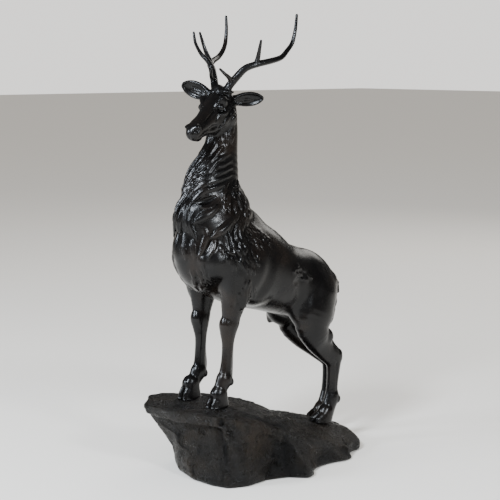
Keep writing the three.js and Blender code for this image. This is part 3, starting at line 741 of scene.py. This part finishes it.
def rock_field():
    field = Field(LOW, np.array([HIGH[0], HIGH[1], ROCK_TOP]))
    low_edge = [(x * 0.97 - 1, y * 0.95, LEDGE - SLAB) for x, y in SLAB_EDGE]
    add_boulder(field, [(x, y, LEDGE) for x, y in SLAB_EDGE] + low_edge)
    for corners in BOULDERS:
        add_boulder(field, corners)
    for centre, halves in SCOOPS:
        add_bulge(field, centre, halves, blend=2.5, cut=True)
    for centre, halves in HOLLOWS:
        add_bulge(field, centre, halves, blend=4, cut=True)
    for ridge in RIDGES:
        path, outward = field.settle(smooth_path(ridge, 4))
        add_strand(field, path, 4.2 * np.sin(np.linspace(0.5, math.pi - 0.5, len(path))), outward, 3, 0.8)
    # The ledge stays crisper than the rock under it
    crisp = softened(field.value)
    share = np.clip((LEDGE - SLAB - field.axes[2]) / 6, 0, 1)[None, None, :]
    field.value = crisp + (softened(crisp) - crisp) * share
    for x, y, z in FOOTINGS:
        add_bulge(field, (x, y, z - 11), (22, 17, 11), blend=4)
    return field


# Mesh

TABLE_SIZE = 48
TABLE = rng.random([TABLE_SIZE] * 3)


def lumps(points, size):
    """Smooth noise from -1 to 1 whose lumps are about size across. It is the same at every run."""
    spot = points / size
    base = np.floor(spot).astype(int)
    t = spot - base
    t = t * t * (3 - 2 * t)
    total = np.zeros(len(points))
    for corner in np.ndindex(2, 2, 2):
        at = (base + corner) % TABLE_SIZE
        total += np.prod(np.where(corner, t, 1 - t), axis=1) * TABLE[at[:, 0], at[:, 1], at[:, 2]]
    return total * 2 - 1


def surface(field):
    """Points and four-cornered faces where the field crosses zero."""
    inside = field.value < 0
    total = np.zeros(np.array(inside.shape) - 1, dtype=np.uint8)
    for i, j, k in np.ndindex(2, 2, 2):
        total += inside[i:i + total.shape[0], j:j + total.shape[1], k:k + total.shape[2]]
    crossed = (total > 0) & (total < 8)
    cells = np.argwhere(crossed)
    index = np.full(crossed.shape, -1, dtype=np.int32)
    index[crossed] = np.arange(len(cells))
    spot = np.zeros((len(cells), 3))
    hits = np.zeros((len(cells), 1))
    for axis in range(3):
        for corner in np.ndindex(2, 2, 2):
            if corner[axis]:
                continue
            start = cells + corner
            end = start + np.eye(3, dtype=int)[axis]
            v0 = field.value[tuple(start.T)]
            v1 = field.value[tuple(end.T)]
            crosses = (v0 < 0) != (v1 < 0)
            share = np.where(crosses, v0 / np.where(crosses, v0 - v1, 1), 0)
            spot += (start + np.eye(3)[axis] * share[:, None]) * crosses[:, None]
            hits += crosses[:, None]
    points = spot / hits * STEP + field.low
    faces = []
    for axis in range(3):
        u, v = np.eye(3, dtype=int)[(axis + 1) % 3], np.eye(3, dtype=int)[(axis + 2) % 3]
        near = inside[tuple(slice(1, -1) if i != axis else slice(0, -1) for i in range(3))]
        far = inside[tuple(slice(1, -1) if i != axis else slice(1, None) for i in range(3))]
        shift = 1 - np.eye(3, dtype=int)[axis]
        for edges, leaving in ((near & ~far, True), (far & ~near, False)):
            at = np.argwhere(edges) + shift
            ring = [index[tuple(cell.T)] for cell in (at, at - u, at - u - v, at - v)]
            faces.append(np.stack(ring if leaving else ring[::-1], axis=1))
    return points, np.vstack(faces)


def facets(points, size):
    """Broken stone: each point follows the tilt of the chip nearest to it. Chips are about size across."""
    spot = points / size
    base = np.floor(spot).astype(int)
    nearest = np.full(len(points), 9.0)
    height = np.zeros(len(points))
    for corner in np.ndindex(3, 3, 3):
        cell = base + corner - 1
        i, j, k = (cell % TABLE_SIZE).T
        centre = cell + np.stack([TABLE[i, j, k], TABLE[j, k, i], TABLE[k, i, j]], axis=1)
        tilt = np.stack([TABLE[i, k, j], TABLE[j, i, k], TABLE[k, j, i]], axis=1)
        away = spot - centre
        distance = np.linalg.norm(away, axis=1)
        closer = distance < nearest
        nearest = np.where(closer, distance, nearest)
        height = np.where(closer, np.sum(away * (tilt - 0.5), axis=1), height)
    return height * size


def roughened(points, outward, amount):
    """Moves points of the rock in and out: broad waves, a few broken chips, and grain that comes and goes."""
    warped = points + 4 * np.stack([lumps(points + shift, 16) for shift in (0, 31, 67)], axis=1)
    height = 1.6 * lumps(points, 38) + 0.6 * lumps(points + 60, 13) - 0.5
    height += 0.08 * facets(warped, 24)
    coarse = np.clip(0.3 + 1.1 * lumps(points + 200, 30), 0, 1)
    height += coarse * (0.55 * lumps(points + 90, 4.4) + 0.42 * lumps(points + 20, 2.1))
    height += 0.2 * lumps(points + 150, 1.7) + 0.25 * lumps(points + 170, 6)
    return points + outward * (height * amount)[:, None]


def make_mesh(name, points, faces):
    mesh = bpy.data.meshes.new(name)
    mesh.vertices.add(len(points))
    mesh.vertices.foreach_set("co", (points * MM).ravel())
    mesh.loops.add(faces.size)
    mesh.loops.foreach_set("vertex_index", faces.ravel())
    mesh.polygons.add(len(faces))
    mesh.polygons.foreach_set("loop_start", np.arange(0, faces.size, faces.shape[1]))
    mesh.polygons.foreach_set("use_smooth", np.ones(len(faces), dtype=bool))
    mesh.update(calc_edges=True)
    return mesh


def thinned(piece, triangles):
    """Joins the smallest faces of a piece until it has that many triangles."""
    thin = piece.modifiers.new("thin", "DECIMATE")
    thin.ratio = min(1.0, triangles / (2 * len(piece.data.polygons)))
    with bpy.context.temp_override(object=piece):
        bpy.ops.object.modifier_apply(modifier="thin")


def joined_labels(mesh):
    """A number for each vertex that is the same all over one connected surface."""
    edges = np.zeros(2 * len(mesh.edges), dtype=np.int32)
    mesh.edges.foreach_get("vertices", edges)
    first, second = edges.reshape(-1, 2).T
    label = np.arange(len(mesh.vertices))
    while True:
        a, b = label[first], label[second]
        lowest = np.minimum(a, b)
        spread = label.copy()
        np.minimum.at(spread, a, lowest)
        np.minimum.at(spread, b, lowest)
        spread = spread[spread]
        if np.array_equal(spread, label):
            return label
        label = spread


def keep_outer_surface(mesh):
    """Deletes the tiny closed bubbles left inside the metal where forms meet."""
    label = joined_labels(mesh)
    names, counts = np.unique(label, return_counts=True)
    stray = np.flatnonzero(label != names[np.argmax(counts)])
    shape = bmesh.new()
    shape.from_mesh(mesh)
    shape.verts.ensure_lookup_table()
    bmesh.ops.delete(shape, geom=[shape.verts[i] for i in stray], context="VERTS")
    shape.to_mesh(mesh)
    shape.free()


def cast():
    """The stag and its rock as one mesh, with an attribute that tells rock from coat."""
    field = Field(LOW, HIGH)
    add_body(field)
    add_legs(field)
    add_head(field)
    add_ears(field)
    add_antlers(field)
    add_hair(field)
    rock = rock_field()
    part = tuple(slice(0, n) for n in rock.count)
    stag_low = field.value[part].copy()
    field.value[part] = smooth_less(stag_low, rock.value, EDGE_ROUNDING)
    field.value = np.maximum(field.value, -field.axes[2][None, None, :])
    points, faces = surface(field)
    for _ in range(2):
        points = points - field.slope(points) * np.clip(field.sample(points), -0.5, 0.5)[:, None]
    low = points[:, 2] < ROCK_TOP - 2
    outward = field.slope(points)
    stone = np.zeros(len(points))
    stag = Field(LOW, np.array([HIGH[0], HIGH[1], ROCK_TOP]))
    stag.value = stag_low
    gap = stag.sample(points[low]) - rock.sample(points[low])
    stone[low] = np.clip(gap / 2, 0, 1)
    # The rock's grain fades out towards the floor
    points = roughened(points, outward, stone * np.clip(points[:, 2] / 6, 0, 1))
    points[:, 2] = np.maximum(points[:, 2], FLOOR_GAP)
    piece = bpy.data.objects.new("cast_stag_on_rock", make_mesh("cast_stag_on_rock", points, faces))
    bpy.context.collection.objects.link(piece)
    kind = piece.data.attributes.new("stone", "FLOAT", "POINT")
    kind.data.foreach_set("value", stone.astype(np.float32))
    thinned(piece, TRIANGLES)
    keep_outer_surface(piece.data)
    return piece


# Materials

def node(tree, kind, **values):
    made = tree.nodes.new(kind)
    for key, value in values.items():
        if key in made.inputs:
            made.inputs[key].default_value = value
        else:
            setattr(made, key, value)
    return made


def ramp(tree, source, stops):
    """A colour ramp of (position, colour) stops, fed by source."""
    made = tree.nodes.new("ShaderNodeValToRGB")
    keys = made.color_ramp.elements
    while len(keys) < len(stops):
        keys.new(0.5)
    for key, (position, color) in zip(keys, stops):
        key.position = position
        key.color = (*color, 1)
    tree.links.new(source, made.inputs["Fac"])
    return made.outputs["Color"]


def mixed(tree, share, first, second):
    made = node(tree, "ShaderNodeMix", data_type="RGBA")
    tree.links.new(share, made.inputs["Factor"])
    tree.links.new(first, made.inputs["A"])
    tree.links.new(second, made.inputs["B"])
    return made.outputs["Result"]


def noise(tree, place, scale, detail, rough=0.5):
    made = node(tree, "ShaderNodeTexNoise", Scale=scale, Detail=detail, Roughness=rough)
    tree.links.new(place, made.inputs["Vector"])
    return made.outputs["Fac"]


def gray(value):
    return (value, value, value)


def bronze():
    """Dark waxed patina: near black on the coat and warmer in patches, drier and browner on the rock, with
    painted shade darkening the hollows and creases.
    """
    material = bpy.data.materials.new("patinated_bronze")
    material.use_nodes = True
    tree = material.node_tree
    shader = tree.nodes["Principled BSDF"]
    shader.inputs["Metallic"].default_value = 0.2
    shader.inputs["Specular IOR Level"].default_value = 0.28
    place = node(tree, "ShaderNodeTexCoord").outputs["Object"]
    stone = node(tree, "ShaderNodeAttribute", attribute_name="stone").outputs["Fac"]
    # Pointiness, the mask for the painted shade in hollows and creases
    painted_shade_pointiness = node(tree, "ShaderNodeNewGeometry").outputs["Pointiness"]
    cloud = noise(tree, place, 22, 4, 0.6)
    grain = noise(tree, place, 620, 3, 0.6)

    coat = ramp(tree, cloud, [(0.35, (0.0025, 0.0024, 0.0026)), (0.52, (0.005, 0.0044, 0.0042)),
                              (0.7, (0.012, 0.0085, 0.0065))])
    stone_color = ramp(tree, cloud, [(0.38, (0.004, 0.0034, 0.0028)), (0.55, (0.0085, 0.0062, 0.0042)),
                                     (0.7, (0.018, 0.0118, 0.0068))])
    color = mixed(tree, stone, coat, stone_color)
    # Painted shade: where pointiness is low, in hollows and creases, the colour is darkened to a quarter;
    # flat and raised forms keep it
    edge = ramp(tree, painted_shade_pointiness, [(0.47, gray(0.25)), (0.5, gray(0.9)), (0.56, gray(1.0))])
    shaded = node(tree, "ShaderNodeMix", data_type="RGBA", blend_type="MULTIPLY")
    shaded.inputs["Factor"].default_value = 1
    tree.links.new(color, shaded.inputs["A"])
    tree.links.new(edge, shaded.inputs["B"])
    tree.links.new(shaded.outputs["Result"], shader.inputs["Base Color"])

    coat_gloss = ramp(tree, noise(tree, place, 60, 4), [(0.3, gray(0.17)), (0.7, gray(0.32))])
    stone_gloss = ramp(tree, noise(tree, place, 160, 4), [(0.35, gray(0.24)), (0.65, gray(0.46))])
    tree.links.new(mixed(tree, stone, coat_gloss, stone_gloss), shader.inputs["Roughness"])

    crust = noise(tree, place, 300, 6, 0.72)
    crusty = node(tree, "ShaderNodeMath", operation="MULTIPLY")
    tree.links.new(crust, crusty.inputs[0])
    tree.links.new(stone, crusty.inputs[1])
    pitted = node(tree, "ShaderNodeBump", Strength=1.0, Distance=0.004)
    tree.links.new(crusty.outputs["Value"], pitted.inputs["Height"])
    bump = node(tree, "ShaderNodeBump", Strength=0.35, Distance=0.0004)
    tree.links.new(grain, bump.inputs["Height"])
    tree.links.new(pitted.outputs["Normal"], bump.inputs["Normal"])
    tree.links.new(bump.outputs["Normal"], shader.inputs["Normal"])
    return material


# The whole piece

statue = cast()
statue.data.materials.append(bronze())
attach(statue, "root")
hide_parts("stag_on_rock")


# Floor, camera and lights

# Metres: half the floor's length, how far it lies under the part, and the height the lights aim at
FLOOR_HALF = 14.0
FLOOR_DROP = 0.0005
AIM_HEIGHT = 0.25
PALE = (1.0, 0.98, 0.95, 1)
VIEW_TURN = math.radians(40)
VIEW_PITCH = math.radians(8)
VIEW_DISTANCE = 1444 * MM
VIEW_HEIGHT = 430 * MM
VIEW_SIDESTEP = -5.35 * MM
FOCAL_LENGTH = 97.2
TOWARDS = Vector((-math.sin(VIEW_TURN), -math.cos(VIEW_TURN), 0))
RIGHTWARD = Vector((math.cos(VIEW_TURN), -math.sin(VIEW_TURN), 0))
SKYWARD = Vector((0, 0, 1))


def plain_material(name, color, roughness):
    material = bpy.data.materials.new(name)
    material.use_nodes = True
    shader = material.node_tree.nodes["Principled BSDF"]
    shader.inputs["Base Color"].default_value = (*color, 1)
    shader.inputs["Roughness"].default_value = roughness
    return material


def add_floor():
    mesh = bpy.data.meshes.new("floor")
    signs = ((-1, -1), (1, -1), (1, 1), (-1, 1))
    corners = [(x * FLOOR_HALF, y * FLOOR_HALF, -FLOOR_DROP) for x, y in signs]
    mesh.from_pydata(corners, [], [(0, 1, 2, 3)])
    mesh.materials.append(plain_material("pale_floor", (0.78, 0.75, 0.70), 0.7))
    floor = bpy.data.objects.new("floor", mesh)
    bpy.context.collection.objects.link(floor)


def add_camera():
    data = bpy.data.cameras.new("camera")
    data.lens = FOCAL_LENGTH
    camera = bpy.data.objects.new("camera", data)
    bpy.context.collection.objects.link(camera)
    camera.location = TOWARDS * VIEW_DISTANCE + RIGHTWARD * VIEW_SIDESTEP + SKYWARD * VIEW_HEIGHT
    forward = -TOWARDS * math.cos(VIEW_PITCH) - SKYWARD * math.sin(VIEW_PITCH)
    camera.rotation_euler = forward.to_track_quat("-Z", "Y").to_euler()
    bpy.context.scene.camera = camera


def add_light(name, right, towards, up, size, power, color):
    """A soft square light that faces the middle of the statue. Places and size are in metres."""
    data = bpy.data.lights.new(name, "AREA")
    data.size = size
    data.energy = power
    data.color = color
    lamp = bpy.data.objects.new(name, data)
    bpy.context.collection.objects.link(lamp)
    lamp.location = RIGHTWARD * right + TOWARDS * towards + SKYWARD * up
    aim = SKYWARD * AIM_HEIGHT - lamp.location
    lamp.rotation_euler = aim.to_track_quat("-Z", "Y").to_euler()


def add_world():
    """A pale studio: white behind the statue, bright on the floor and dim in the statue's reflections."""
    world = bpy.data.worlds.new("studio")
    world.use_nodes = True
    tree = world.node_tree
    rays = node(tree, "ShaderNodeLightPath")
    dim = tree.nodes["Background"]
    dim.inputs["Color"].default_value = (1.0, 0.97, 0.93, 1)
    dim.inputs["Strength"].default_value = 0.1
    bright = node(tree, "ShaderNodeBackground", Strength=0.8, Color=PALE)
    behind = node(tree, "ShaderNodeBackground", Strength=1.4, Color=PALE)
    lit = node(tree, "ShaderNodeMixShader")
    tree.links.new(rays.outputs["Is Diffuse Ray"], lit.inputs[0])
    tree.links.new(dim.outputs["Background"], lit.inputs[1])
    tree.links.new(bright.outputs["Background"], lit.inputs[2])
    seen = node(tree, "ShaderNodeMixShader")
    tree.links.new(rays.outputs["Is Camera Ray"], seen.inputs[0])
    tree.links.new(lit.outputs["Shader"], seen.inputs[1])
    tree.links.new(behind.outputs["Background"], seen.inputs[2])
    tree.links.new(seen.outputs["Shader"], tree.nodes["World Output"].inputs["Surface"])
    bpy.context.scene.world = world


add_floor()
add_camera()
add_light("window", -0.75, 1.3, 1.35, 0.36, 52, (0.82, 0.9, 1.0))
add_light("second_window", 1.0, 1.2, 0.9, 0.26, 21, (0.88, 0.94, 1.0))
add_light("side_window", -1.5, 0.5, 0.8, 0.45, 30, (0.82, 0.9, 1.0))
add_light("room", 0.8, -1.6, 1.3, 1.1, 12, (1.0, 0.97, 0.92))
add_world()
